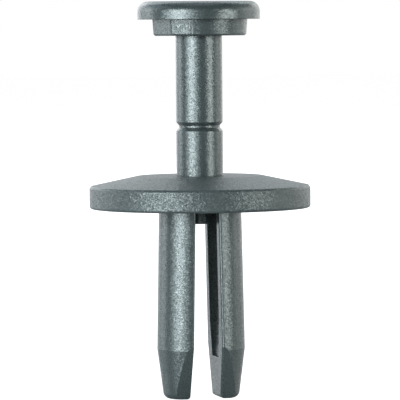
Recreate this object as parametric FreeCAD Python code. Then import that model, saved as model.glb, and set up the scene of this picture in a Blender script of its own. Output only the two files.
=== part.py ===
import FreeCAD, Part
import math
import os

# Plastic push rivet: a flanged body with a split shank, and a pin that stands raised in it.
# Millimetres and degrees. The axis is +Z, the tips of the legs stand at z = 0, and the slot
# between the legs runs along Y, so that the legs lie at +X and -X.

# Flange of the body
FLANGE_DIAMETER = 20.0
RIM_HEIGHT = 2.0
CROWN_SLOPE = 12.0
CROWN_FLAT_DIAMETER = 11.45
RIM_BOTTOM_ROUND = 0.24
RIM_TOP_CHAMFER = 0.16

# Legs of the body
LEG_LENGTH = 17.2
LEG_RADIUS = 2.9
LEG_CENTRE_OFFSET = 0.86
LEG_SPLAY = 1.1
LEG_ROOT_FLARE = 0.2
SLOT_WIDTH = 2.11
SLOT_EDGE_ROUND = 0.18
TIP_TAPER = 8.4
TIP_TAPER_LENGTH = 4.4
TIP_CORNER_ROUND = 0.6
TIP_INNER_ROUND = 0.35
TIP_FLAT_SLOPE = 15.0
TIP_FLAT_LENGTH = 4.8
CHANNEL_END_HEIGHT = 3.65
CHANNEL_END_RADIUS = 1.75

# Fits of the pin in the body
RUNNING_CLEARANCE = 0.05
NOSE_CLEARANCE = 0.04
PIN_RAISE = 12.65

# Head and collar of the pin
HEAD_DIAMETER = 11.05
HEAD_THICKNESS = 1.62
HEAD_TOP_ROUND = 0.92
COLLAR_DIAMETER = 8.8
COLLAR_HEIGHT = 1.48
COLLAR_DRAFT = 4.5
COLLAR_CHAMFER = 0.14

# Faceted relief in the collar, where a blade gets under the head. Its outline is drawn as seen
# from the front of the pin: the step lies left of the axis, and the facets turn further left.
RELIEF_STEP_OFFSET = 0.7
RELIEF_STEP_DEPTH = 0.65
RELIEF_FIRST_TURN = 25.0
RELIEF_FIRST_WIDTH = 2.0
RELIEF_SECOND_TURN = 57.0
RELIEF_SECOND_WIDTH = 3.05
RELIEF_LAST_TURN = 90.0
RELIEF_CORNER_ROUND = 0.45
RELIEF_STEP_ROUND = 0.18
PIN_TURN = -13.4

# Stem of the pin
STEM_DIAMETER = 4.2
STEM_LENGTH = 17.0
GROOVE_BELOW_COLLAR = 8.19
GROOVE_WIDTH = 0.8
GROOVE_DEPTH = 0.26
GROOVE_LAND = 0.2
CONE_LENGTH = 2.75
NOSE_LENGTH = 1.0
NOSE_CHAMFER = 0.1

# Heights and radii that follow from these
FLANGE_RADIUS = FLANGE_DIAMETER / 2
CROWN_FLAT_RADIUS = CROWN_FLAT_DIAMETER / 2
SEAT_Z = LEG_LENGTH
RIM_TOP_Z = SEAT_Z + RIM_HEIGHT
FLANGE_TOP_Z = RIM_TOP_Z + (FLANGE_RADIUS - CROWN_FLAT_RADIUS) * math.tan(math.radians(CROWN_SLOPE))
STEM_RADIUS = STEM_DIAMETER / 2
BORE_RADIUS = STEM_RADIUS + RUNNING_CLEARANCE
NOSE_RADIUS = SLOT_WIDTH / 2 - NOSE_CLEARANCE
COLLAR_BOTTOM_Z = FLANGE_TOP_Z + PIN_RAISE
COLLAR_TOP_Z = COLLAR_BOTTOM_Z + COLLAR_HEIGHT
HEAD_TOP_Z = COLLAR_TOP_Z + HEAD_THICKNESS
COLLAR_RADIUS = COLLAR_DIAMETER / 2
COLLAR_BOTTOM_RADIUS = COLLAR_RADIUS - COLLAR_HEIGHT * math.tan(math.radians(COLLAR_DRAFT))
PIN_END_Z = COLLAR_BOTTOM_Z - STEM_LENGTH
CONE_BOTTOM_Z = PIN_END_Z + NOSE_LENGTH
CONE_TOP_Z = CONE_BOTTOM_Z + CONE_LENGTH
GROOVE_Z = COLLAR_BOTTOM_Z - GROOVE_BELOW_COLLAR

# Reach of cutting tools past the faces that they cut, and how near two heights count as one
REACH = 1.0
SAME_HEIGHT = 1e-6

DOWNWARDS = math.radians(270)
Z_AXIS = FreeCAD.Vector(0, 0, 1)
Y_AXIS = FreeCAD.Vector(0, 1, 0)
ORIGIN = FreeCAD.Vector(0, 0, 0)


def revolved(profile, axis_x=0.0):
    """Turns a closed profile of (x, z) points round the upright line at axis_x."""
    points = [FreeCAD.Vector(x, 0, z) for x, z in profile]
    face = Part.Face(Part.makePolygon(points + points[:1]))
    return face.revolve(FreeCAD.Vector(axis_x, 0, 0), Z_AXIS, 360)


def rounded_ring(solid, radius, height):
    """Rounds the widest full ring edge at a height."""
    rings = [
        edge for edge in solid.Edges
        if isinstance(edge.Curve, Part.Circle) and abs(edge.Curve.Center.z - height) < SAME_HEIGHT
    ]
    return solid.makeFillet(radius, [max(rings, key=lambda edge: edge.Curve.Radius)])


def slot_half_width(height):
    """Half the gap between the splayed legs at a height above their tips."""
    return SLOT_WIDTH / 2 + (LEG_LENGTH - height) * math.tan(math.radians(LEG_SPLAY))


def flange():
    """The round flange: an upright rim, a conical crown and a flat top."""
    chamfer_rise = RIM_TOP_CHAMFER * math.tan(math.radians(CROWN_SLOPE))
    disc = revolved([
        (0, SEAT_Z),
        (FLANGE_RADIUS, SEAT_Z),
        (FLANGE_RADIUS, RIM_TOP_Z - RIM_TOP_CHAMFER),
        (FLANGE_RADIUS - RIM_TOP_CHAMFER, RIM_TOP_Z + chamfer_rise),
        (CROWN_FLAT_RADIUS, FLANGE_TOP_Z),
        (0, FLANGE_TOP_Z),
    ])
    return rounded_ring(disc, RIM_BOTTOM_ROUND, SEAT_Z)


def tip_flat_cutter(side, end_z):
    """The wedge of air in front of (side -1) or behind (side 1) the leg tips."""
    fall = TIP_FLAT_LENGTH - end_z
    depth = fall * math.tan(math.radians(TIP_FLAT_SLOPE))
    width = LEG_CENTRE_OFFSET + LEG_RADIUS + REACH
    outline = [
        FreeCAD.Vector(-REACH, side * LEG_RADIUS, TIP_FLAT_LENGTH),
        FreeCAD.Vector(-REACH, side * (LEG_RADIUS - depth), end_z),
        FreeCAD.Vector(-REACH, side * (LEG_RADIUS + REACH), end_z),
        FreeCAD.Vector(-REACH, side * (LEG_RADIUS + REACH), TIP_FLAT_LENGTH),
    ]
    face = Part.Face(Part.makePolygon(outline + outline[:1]))
    return face.extrude(FreeCAD.Vector(width + REACH, 0, 0))


def tip_corner_cutter():
    """What rounds off the leg's end on the slot's side: the air outside an arc along Y."""
    splay = math.radians(LEG_SPLAY)
    centre_x = slot_half_width(TIP_INNER_ROUND) + TIP_INNER_ROUND / math.cos(splay)
    centre = FreeCAD.Vector(centre_x, -LEG_RADIUS - REACH, TIP_INNER_ROUND)
    start, middle, end = (
        centre + FreeCAD.Vector(math.cos(angle), 0, math.sin(angle)) * TIP_INNER_ROUND
        for angle in (math.pi + splay, (math.pi + splay) / 2 + DOWNWARDS / 2, DOWNWARDS)
    )
    far_x = start.x - REACH
    outline = [
        end,
        FreeCAD.Vector(end.x, end.y, -REACH),
        FreeCAD.Vector(far_x, end.y, -REACH),
        FreeCAD.Vector(far_x, end.y, start.z),
        start,
    ]
    arc = Part.Arc(start, middle, end).toShape()
    face = Part.Face(Part.Wire([arc] + Part.makePolygon(outline).Edges))
    return face.extrude(Y_AXIS * 2 * (LEG_RADIUS + REACH))


def leg():
    """The leg at +X, splayed, with its end trimmed level at z = 0 and rounded towards the slot."""
    splay = math.radians(LEG_SPLAY)
    widest = LEG_CENTRE_OFFSET + LEG_RADIUS
    end_z = -(LEG_LENGTH * (1 - math.cos(splay)) + widest * math.sin(splay))
    root_z = SEAT_Z + RIM_HEIGHT / 2
    taper_run = TIP_TAPER_LENGTH - end_z
    end_x = widest - taper_run * math.tan(math.radians(TIP_TAPER))
    shank = revolved([
        (LEG_CENTRE_OFFSET, end_z),
        (end_x, end_z),
        (widest, TIP_TAPER_LENGTH),
        (widest, root_z),
        (LEG_CENTRE_OFFSET, root_z),
    ], LEG_CENTRE_OFFSET)
    shank = rounded_ring(shank, TIP_CORNER_ROUND, end_z)
    for side in (-1, 1):
        shank = shank.cut(tip_flat_cutter(side, end_z))
    slot_side = Part.makeBox(
        2 * LEG_RADIUS + REACH, 2 * (LEG_RADIUS + REACH), root_z - end_z + 2 * REACH,
        FreeCAD.Vector(SLOT_WIDTH / 2 - 2 * LEG_RADIUS - REACH, -LEG_RADIUS - REACH, end_z - REACH),
    )
    shank = shank.cut(slot_side)
    slot_face = min(shank.Faces, key=lambda face: face.CenterOfMass.x)
    edges = [edge for edge in slot_face.Edges if edge.CenterOfMass.z < root_z - REACH / 2]
    shank = shank.makeFillet(SLOT_EDGE_ROUND, edges)
    shank.rotate(FreeCAD.Vector(0, 0, LEG_LENGTH), Y_AXIS, -LEG_SPLAY)
    below = Part.makeBox(
        4 * widest, 4 * widest, REACH, FreeCAD.Vector(-2 * widest, -2 * widest, -REACH)
    )
    return shank.cut([below, tip_corner_cutter()])


def pin_way():
    """The bore through the flange and the channel that goes on down between the legs.

    The channel keeps the bore's radius as far down as the stem reaches once the pin is home.
    Then it narrows, and it ends bluntly above the tips.
    """
    home_cone_top_z = CONE_TOP_Z - PIN_RAISE
    narrow_z = home_cone_top_z - RUNNING_CLEARANCE
    return revolved([
        (0, CHANNEL_END_HEIGHT),
        (CHANNEL_END_RADIUS, CHANNEL_END_HEIGHT),
        (BORE_RADIUS, narrow_z),
        (BORE_RADIUS, FLANGE_TOP_Z + REACH),
        (0, FLANGE_TOP_Z + REACH),
    ])


def flared_roots(moulding):
    """Flares the roots of the legs: every inner edge of the flange's underside."""
    underside = next(
        face for face in moulding.Faces
        if isinstance(face.Surface, Part.Plane) and abs(face.CenterOfMass.z - SEAT_Z) < SAME_HEIGHT
    )
    roots = [
        edge for wire in underside.Wires
        if not wire.isSame(underside.OuterWire) for edge in wire.Edges
    ]
    return moulding.makeChamfer(LEG_ROOT_FLARE, roots)


def rivet_body():
    """Flange and both legs as one moulding, with the way for the pin cut through it."""
    first_leg = leg()
    second_leg = first_leg.copy()
    second_leg.rotate(ORIGIN, Z_AXIS, 180)
    moulding = flared_roots(flange().fuse([first_leg, second_leg]).removeSplitter())
    return moulding.cut(pin_way()).removeSplitter()


def relief_outline(scale, z):
    """Plan of the collar inside the relief's facets, at one height."""
    start_y = -math.sqrt(COLLAR_RADIUS ** 2 - RELIEF_STEP_OFFSET ** 2) + RELIEF_STEP_DEPTH
    x, y = -RELIEF_STEP_OFFSET, start_y
    first = math.radians(RELIEF_FIRST_TURN)
    overrun = RELIEF_STEP_OFFSET + REACH
    corners = [(x + overrun, y - overrun * math.tan(first))]
    facets = (
        (RELIEF_FIRST_TURN, RELIEF_FIRST_WIDTH),
        (RELIEF_SECOND_TURN, RELIEF_SECOND_WIDTH),
        (RELIEF_LAST_TURN, COLLAR_DIAMETER),
    )
    for turn, width in facets:
        x -= width * math.cos(math.radians(turn))
        y += width * math.sin(math.radians(turn))
        corners.append((x, y))
    corners.append((corners[0][0], corners[-1][1]))
    points = [FreeCAD.Vector(scale * px, scale * py, z) for px, py in corners]
    return Part.makePolygon(points + points[:1])


def relief_cutter():
    """What the relief takes off the collar: all that is left of the step and outside the facets."""
    narrowing = COLLAR_BOTTOM_RADIUS / COLLAR_RADIUS
    low = relief_outline(narrowing, COLLAR_BOTTOM_Z)
    high = relief_outline(1.0, COLLAR_TOP_Z)
    kept = Part.makeLoft([low, high], True, True)
    corner_x = -RELIEF_STEP_OFFSET - RELIEF_FIRST_WIDTH * math.cos(math.radians(RELIEF_FIRST_TURN))
    uprights = [edge for edge in kept.Edges if edge.BoundBox.ZLength > COLLAR_HEIGHT / 2]
    corner = min(uprights, key=lambda edge: abs(edge.Vertexes[0].X - corner_x))
    kept = kept.makeFillet(RELIEF_CORNER_ROUND, [corner])
    left_side = Part.makeBox(
        COLLAR_DIAMETER, 2 * COLLAR_DIAMETER, COLLAR_HEIGHT,
        FreeCAD.Vector(-RELIEF_STEP_OFFSET - COLLAR_DIAMETER, -COLLAR_DIAMETER, COLLAR_BOTTOM_Z),
    )
    return left_side.cut(kept)


def collar():
    """The drafted collar under the head, with the relief cut in and its lower edge chamfered."""
    ring = revolved([
        (0, COLLAR_BOTTOM_Z),
        (COLLAR_BOTTOM_RADIUS, COLLAR_BOTTOM_Z),
        (COLLAR_RADIUS, COLLAR_TOP_Z),
        (0, COLLAR_TOP_Z),
    ])
    ring = ring.cut(relief_cutter())
    step_corner = FreeCAD.Vector(-RELIEF_STEP_OFFSET, -COLLAR_RADIUS, COLLAR_TOP_Z - COLLAR_HEIGHT / 2)
    uprights = [edge for edge in ring.Edges if edge.BoundBox.ZLength > COLLAR_HEIGHT / 2]
    step_edge = min(uprights, key=lambda edge: edge.CenterOfMass.distanceToPoint(step_corner))
    ring = ring.makeFillet(RELIEF_STEP_ROUND, [step_edge])
    underside = min(ring.Faces, key=lambda face: face.CenterOfMass.z)
    return ring.makeChamfer(COLLAR_CHAMFER, underside.OuterWire.Edges)


def head():
    """The flat round head, with a generous round at its top edge."""
    disc = Part.makeCylinder(HEAD_DIAMETER / 2, HEAD_THICKNESS, FreeCAD.Vector(0, 0, COLLAR_TOP_Z))
    return rounded_ring(disc, HEAD_TOP_ROUND, HEAD_TOP_Z)


def stem():
    """The stem with its V groove, the cone that spreads the legs and the slim nose."""
    stem_top_z = COLLAR_BOTTOM_Z + COLLAR_HEIGHT / 2
    return revolved([
        (0, PIN_END_Z),
        (NOSE_RADIUS - NOSE_CHAMFER, PIN_END_Z),
        (NOSE_RADIUS, PIN_END_Z + NOSE_CHAMFER),
        (NOSE_RADIUS, CONE_BOTTOM_Z),
        (STEM_RADIUS, CONE_TOP_Z),
        (STEM_RADIUS, GROOVE_Z - GROOVE_WIDTH / 2),
        (STEM_RADIUS - GROOVE_DEPTH, GROOVE_Z - GROOVE_LAND / 2),
        (STEM_RADIUS - GROOVE_DEPTH, GROOVE_Z + GROOVE_LAND / 2),
        (STEM_RADIUS, GROOVE_Z + GROOVE_WIDTH / 2),
        (STEM_RADIUS, stem_top_z),
        (0, stem_top_z),
    ])


def push_pin():
    """Head, collar and stem as one moulding, turned in the body as the pin stands in it."""
    moulding = head().fuse([collar(), stem()]).removeSplitter()
    moulding.rotate(ORIGIN, Z_AXIS, PIN_TURN)
    return moulding


def main():
    os.makedirs("parts", exist_ok=True)
    for name, build in (("rivet_body", rivet_body), ("push_pin", push_pin)):
        shape = build()
        solid = shape.Solids[0] if len(shape.Solids) == 1 else shape
        solid.exportStep("parts/" + name + ".step")
        box = solid.BoundBox
        print(
            name, "solids", len(shape.Solids), "valid", solid.isValid(),
            "volume %.1f" % solid.Volume, "z %.3f to %.3f" % (box.ZMin, box.ZMax),
        )


main()
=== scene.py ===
import math

import bpy
from mathutils import Matrix, Vector

# Looks of the plastic push rivet: the finish of its two mouldings, a pale studio and the camera.
# Metres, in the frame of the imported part: +Z up, the leg tips on z = 0, the axis at x = y = 0.

MM = 0.001
WHITE = (1, 1, 1, 1)

# Camera: level with the pin's head and far off, seen a little from the left of the slot.
# The azimuth is turned from the part's front, -Y, towards +X, and the roll is in degrees too.
SENSOR_WIDTH_MM = 36.0
CAMERA_AZIMUTH = -13.4
CAMERA_DISTANCE = 318 * MM
CAMERA_HEIGHT = 33.7 * MM
AIM_HEIGHT = 17.9 * MM
CAMERA_ROLL = -0.45
FRAME_WIDTH = 36.14 * MM

# Softboxes round the part: azimuth counted from the camera's own and positive to the right of the
# picture, elevation, width and height in degrees as the part sees them, radiance and tint
LAMP_DISTANCE = 0.5
LAMPS = {
    "key": (-37.0, 6.0, 26.0, 26.0, 6.6, (0.88, 1.0, 1.02)),
    "key_soft": (-37.0, 5.0, 60.0, 24.0, 3.9, (0.83, 1.0, 1.03)),
    "fill": (57.0, 5.0, 28.0, 24.0, 5.5, (0.87, 1.0, 0.95)),
    "left_edge": (-110.0, 5.0, 30.0, 40.0, 2.7, (0.9, 1.0, 1.03)),
    "right_edge": (106.0, 5.0, 34.0, 40.0, 1.6, (0.92, 1.0, 0.98)),
    "back_left": (-152.0, 8.0, 36.0, 40.0, 1.9, (0.96, 1.0, 1.04)),
    "back_right": (146.0, 5.0, 36.0, 40.0, 1.7, (0.98, 1.0, 0.98)),
    "back": (180.0, 5.0, 30.0, 30.0, 0.8, (1.0, 1.0, 1.0)),
    "back_mid": (180.0, 32.0, 60.0, 26.0, 1.0, (0.88, 1.0, 1.02)),
    "back_above": (180.0, 54.0, 60.0, 24.0, 1.9, (0.91, 1.0, 1.05)),
    "left_high": (-110.0, 36.0, 60.0, 28.0, 0.65, (0.8, 1.0, 1.1)),
    "right_high": (110.0, 36.0, 60.0, 28.0, 0.3, (0.85, 1.0, 0.9)),
    "top": (0.0, 88.0, 40.0, 40.0, 0.6, (0.85, 1.0, 1.1)),
}

# Plastic of both mouldings
PLASTIC_COLOUR = (0.054, 0.067, 0.069)
PLASTIC_IOR = 1.6
SHEEN_LEVEL = 0.95
ROUGHNESS = 0.31
EDGE_ROUND = 0.08 * MM

# Grain: the size of its cells, and how far each one leans and differs in roughness and shade.
# A cell's random values run from 0 to 1, and so reach as far below their middle as above it.
GRAIN_SIZE = 0.095 * MM
GRAIN_TILT = 0.075
GRAIN_ROUGHNESS = 0.05
GRAIN_SHADE = 0.12
RANDOM_MIDDLE = 0.5
RANDOM_REACH = 0.5

# The flange, above this height, leans more in its grain and is rougher than the legs
FLANGE_FROM = 17.2 * MM
FLANGE_TILT = 0.18
FLANGE_ROUGHER = 0.1

# Painted shade: crevices darken within this reach, to black where no more than this share of it is
# open
PAINTED_SHADE_REACH = 0.5 * MM
PAINTED_SHADE_OPEN_SHARE = 0.35

# Room: pale behind the part and dark in front, with the change at about a right angle to the view
ROOM_DARK = 0.01
ROOM_PALE = 0.05
ROOM_EDGE = -0.12
ROOM_EDGE_SOFTNESS = 0.1

# Floor: a slightly glossy board to the part, and white with a faint shadow to the camera
FLOOR_SIZE = 4.0
FLOOR_COLOUR = (0.5, 0.5, 0.5, 1)
FLOOR_ROUGHNESS = 0.28
FLOOR_GLOSS = 0.3
FLOOR_GLOW = 0.98


def direction(azimuth, elevation=0.0):
    """Unit vector from the part towards an azimuth counted from the camera's own."""
    turn = math.radians(CAMERA_AZIMUTH + azimuth)
    rise = math.radians(elevation)
    level = Vector((math.sin(turn), -math.cos(turn), 0)) * math.cos(rise)
    return level + Vector((0, 0, math.sin(rise)))


def facing(place, target):
    """Rotation of a camera or lamp at a place that looks at a target."""
    return (target - place).to_track_quat("-Z", "Y").to_matrix().to_4x4()


def add_camera():
    data = bpy.data.cameras.new("camera")
    data.sensor_width = SENSOR_WIDTH_MM
    data.lens = SENSOR_WIDTH_MM * CAMERA_DISTANCE / FRAME_WIDTH
    camera = bpy.data.objects.new("camera", data)
    bpy.context.scene.collection.objects.link(camera)
    place = direction(0) * CAMERA_DISTANCE + Vector((0, 0, CAMERA_HEIGHT))
    target = Vector((0, 0, AIM_HEIGHT))
    roll = Matrix.Rotation(math.radians(CAMERA_ROLL), 4, "Z")
    camera.matrix_world = Matrix.Translation(place) @ facing(place, target) @ roll
    bpy.context.scene.camera = camera


def add_lamp(name, azimuth, elevation, width, height, radiance, tint):
    """A rectangular softbox that faces the part, as bright as its radiance says."""
    data = bpy.data.lights.new(name, "AREA")
    data.shape = "RECTANGLE"
    data.size = 2 * LAMP_DISTANCE * math.tan(math.radians(width / 2))
    data.size_y = 2 * LAMP_DISTANCE * math.tan(math.radians(height / 2))
    data.energy = radiance * math.pi * data.size * data.size_y
    data.color = tint
    lamp = bpy.data.objects.new(name, data)
    bpy.context.scene.collection.objects.link(lamp)
    target = Vector((0, 0, AIM_HEIGHT))
    place = target + direction(azimuth, elevation) * LAMP_DISTANCE
    lamp.matrix_world = Matrix.Translation(place) @ facing(place, target)
    lamp.visible_camera = False


def map_range(nodes, from_range=(0, 1), to_range=(0, 1)):
    """A node that carries values of one range over to another."""
    node = nodes.new("ShaderNodeMapRange")
    node.inputs["From Min"].default_value, node.inputs["From Max"].default_value = from_range
    node.inputs["To Min"].default_value, node.inputs["To Max"].default_value = to_range
    return node


def vector_math(nodes, operation):
    node = nodes.new("ShaderNodeVectorMath")
    node.operation = operation
    return node


def add_world():
    """White to the camera, and to everything else a room that is pale behind and dark in front."""
    world = bpy.data.worlds.new("studio")
    bpy.context.scene.world = world
    world.use_nodes = True
    nodes, links = world.node_tree.nodes, world.node_tree.links
    nodes.clear()
    coords = nodes.new("ShaderNodeTexCoord")
    along = vector_math(nodes, "DOT_PRODUCT")
    along.inputs[1].default_value = direction(0)
    edge = (ROOM_EDGE + ROOM_EDGE_SOFTNESS, ROOM_EDGE - ROOM_EDGE_SOFTNESS)
    fade = map_range(nodes, edge, (ROOM_DARK, ROOM_PALE))
    fade.interpolation_type = "SMOOTHSTEP"
    path = nodes.new("ShaderNodeLightPath")
    room = nodes.new("ShaderNodeBackground")
    room.inputs["Color"].default_value = WHITE
    white = nodes.new("ShaderNodeBackground")
    white.inputs["Color"].default_value = WHITE
    mix = nodes.new("ShaderNodeMixShader")
    output = nodes.new("ShaderNodeOutputWorld")
    links.new(coords.outputs["Generated"], along.inputs[0])
    links.new(along.outputs["Value"], fade.inputs["Value"])
    links.new(fade.outputs["Result"], room.inputs["Strength"])
    links.new(path.outputs["Is Camera Ray"], mix.inputs["Fac"])
    links.new(room.outputs[0], mix.inputs[1])
    links.new(white.outputs[0], mix.inputs[2])
    links.new(mix.outputs[0], output.inputs["Surface"])


def floor_material():
    """Pale board that is white to the camera and still keeps the part's shadow."""
    material = bpy.data.materials.new("studio_floor")
    material.use_nodes = True
    nodes, links = material.node_tree.nodes, material.node_tree.links
    nodes.clear()
    path = nodes.new("ShaderNodeLightPath")
    diffuse = nodes.new("ShaderNodeBsdfDiffuse")
    diffuse.inputs["Color"].default_value = FLOOR_COLOUR
    board = nodes.new("ShaderNodeBsdfPrincipled")
    board.inputs["Base Color"].default_value = FLOOR_COLOUR
    board.inputs["Roughness"].default_value = FLOOR_ROUGHNESS
    board.inputs["Specular IOR Level"].default_value = FLOOR_GLOSS
    glow = nodes.new("ShaderNodeEmission")
    glow.inputs["Color"].default_value = WHITE
    glow.inputs["Strength"].default_value = FLOOR_GLOW
    add = nodes.new("ShaderNodeAddShader")
    mix = nodes.new("ShaderNodeMixShader")
    output = nodes.new("ShaderNodeOutputMaterial")
    links.new(diffuse.outputs[0], add.inputs[0])
    links.new(glow.outputs[0], add.inputs[1])
    links.new(path.outputs["Is Camera Ray"], mix.inputs["Fac"])
    links.new(board.outputs[0], mix.inputs[1])
    links.new(add.outputs[0], mix.inputs[2])
    links.new(mix.outputs[0], output.inputs["Surface"])
    return material


def add_floor():
    half = FLOOR_SIZE / 2
    corners = [(-half, -half, 0), (half, -half, 0), (half, half, 0), (-half, half, 0)]
    mesh = bpy.data.meshes.new("floor")
    mesh.from_pydata(corners, [], [(0, 1, 2, 3)])
    mesh.materials.append(floor_material())
    floor = bpy.data.objects.new("floor", mesh)
    bpy.context.scene.collection.objects.link(floor)


def moulded_plastic(name, flanged=False):
    """Moulded plastic with a fine sparkling grain: cells that lean and differ in gloss and tone, and
    painted shade that darkens its colour in the crevices.
    """
    material = bpy.data.materials.new(name)
    material.use_nodes = True
    nodes, links = material.node_tree.nodes, material.node_tree.links
    shader = nodes["Principled BSDF"]
    shader.inputs["IOR"].default_value = PLASTIC_IOR
    shader.inputs["Specular IOR Level"].default_value = SHEEN_LEVEL

    # Cells of the grain, each with a colour and a place of its own
    coords = nodes.new("ShaderNodeTexCoord")
    cells = nodes.new("ShaderNodeTexVoronoi")
    cells.inputs["Scale"].default_value = 1 / GRAIN_SIZE
    links.new(coords.outputs["Object"], cells.inputs["Vector"])

    # Each cell leans its own way, on edges that are a little rounded
    centred = vector_math(nodes, "SUBTRACT")
    centred.inputs[1].default_value = [RANDOM_MIDDLE] * 3
    lean = vector_math(nodes, "SCALE")
    lean.inputs["Scale"].default_value = GRAIN_TILT / RANDOM_REACH
    edges = nodes.new("ShaderNodeBevel")
    edges.inputs["Radius"].default_value = EDGE_ROUND
    leaning = vector_math(nodes, "ADD")
    tilted = vector_math(nodes, "NORMALIZE")
    links.new(cells.outputs["Color"], centred.inputs[0])
    links.new(centred.outputs["Vector"], lean.inputs[0])
    links.new(lean.outputs["Vector"], leaning.inputs[0])
    links.new(edges.outputs["Normal"], leaning.inputs[1])
    links.new(leaning.outputs["Vector"], tilted.inputs[0])
    links.new(tilted.outputs["Vector"], shader.inputs["Normal"])

    # Each cell has its own roughness
    chance = nodes.new("ShaderNodeTexWhiteNoise")
    rough = map_range(nodes, to_range=(ROUGHNESS - GRAIN_ROUGHNESS, ROUGHNESS + GRAIN_ROUGHNESS))
    links.new(cells.outputs["Position"], chance.inputs["Vector"])
    links.new(chance.outputs["Value"], rough.inputs["Value"])
    links.new(rough.outputs["Result"], shader.inputs["Roughness"])

    # The colour differs a little from cell to cell, and painted shade darkens it in the crevices
    shade = map_range(nodes, to_range=(1 + GRAIN_SHADE, 1 - GRAIN_SHADE))
    base = vector_math(nodes, "SCALE")
    base.inputs[0].default_value = PLASTIC_COLOUR
    # Painted shade: the colour darkens where little of the surroundings is open within the reach
    painted_crevice_shade = nodes.new("ShaderNodeAmbientOcclusion")
    painted_crevice_shade.inputs["Distance"].default_value = PAINTED_SHADE_REACH
    painted_crevice_shade.only_local = True
    painted_shade_depth = map_range(nodes, from_range=(PAINTED_SHADE_OPEN_SHARE, 1))
    grain_tone_and_painted_shade = nodes.new("ShaderNodeMath")
    grain_tone_and_painted_shade.operation = "MULTIPLY"
    links.new(chance.outputs["Value"], shade.inputs["Value"])
    links.new(painted_crevice_shade.outputs["AO"], painted_shade_depth.inputs["Value"])
    links.new(painted_shade_depth.outputs["Result"], grain_tone_and_painted_shade.inputs[0])
    links.new(shade.outputs["Result"], grain_tone_and_painted_shade.inputs[1])
    links.new(grain_tone_and_painted_shade.outputs["Value"], base.inputs["Scale"])
    links.new(base.outputs["Vector"], shader.inputs["Base Color"])

    if flanged:
        height = nodes.new("ShaderNodeSeparateXYZ")
        change = (FLANGE_FROM - GRAIN_SIZE, FLANGE_FROM + GRAIN_SIZE)
        level = map_range(nodes, change, (GRAIN_TILT / RANDOM_REACH, FLANGE_TILT / RANDOM_REACH))
        rougher = map_range(nodes, change, (0, FLANGE_ROUGHER))
        total = nodes.new("ShaderNodeMath")
        total.operation = "ADD"
        links.new(coords.outputs["Object"], height.inputs["Vector"])
        links.new(height.outputs["Z"], level.inputs["Value"])
        links.new(height.outputs["Z"], rougher.inputs["Value"])
        links.new(level.outputs["Result"], lean.inputs["Scale"])
        links.new(rough.outputs["Result"], total.inputs[0])
        links.new(rougher.outputs["Result"], total.inputs[1])
        links.new(total.outputs["Value"], shader.inputs["Roughness"])
    return material


def dress(node, material):
    """Give a CAD node one material all over."""
    node.data.materials.clear()
    node.data.materials.append(material)


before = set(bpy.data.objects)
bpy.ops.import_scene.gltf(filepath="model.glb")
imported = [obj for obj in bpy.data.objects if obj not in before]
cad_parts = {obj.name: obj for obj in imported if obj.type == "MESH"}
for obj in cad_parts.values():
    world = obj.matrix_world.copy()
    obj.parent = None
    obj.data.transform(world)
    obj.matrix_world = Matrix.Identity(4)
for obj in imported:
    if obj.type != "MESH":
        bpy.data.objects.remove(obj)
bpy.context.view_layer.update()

bpy.context.scene.view_settings.view_transform = "Standard"

dress(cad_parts["rivet_body"], moulded_plastic("body_plastic", flanged=True))
dress(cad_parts["push_pin"], moulded_plastic("pin_plastic"))

add_world()
add_floor()
for name, settings in LAMPS.items():
    add_lamp(name, *settings)
add_camera()
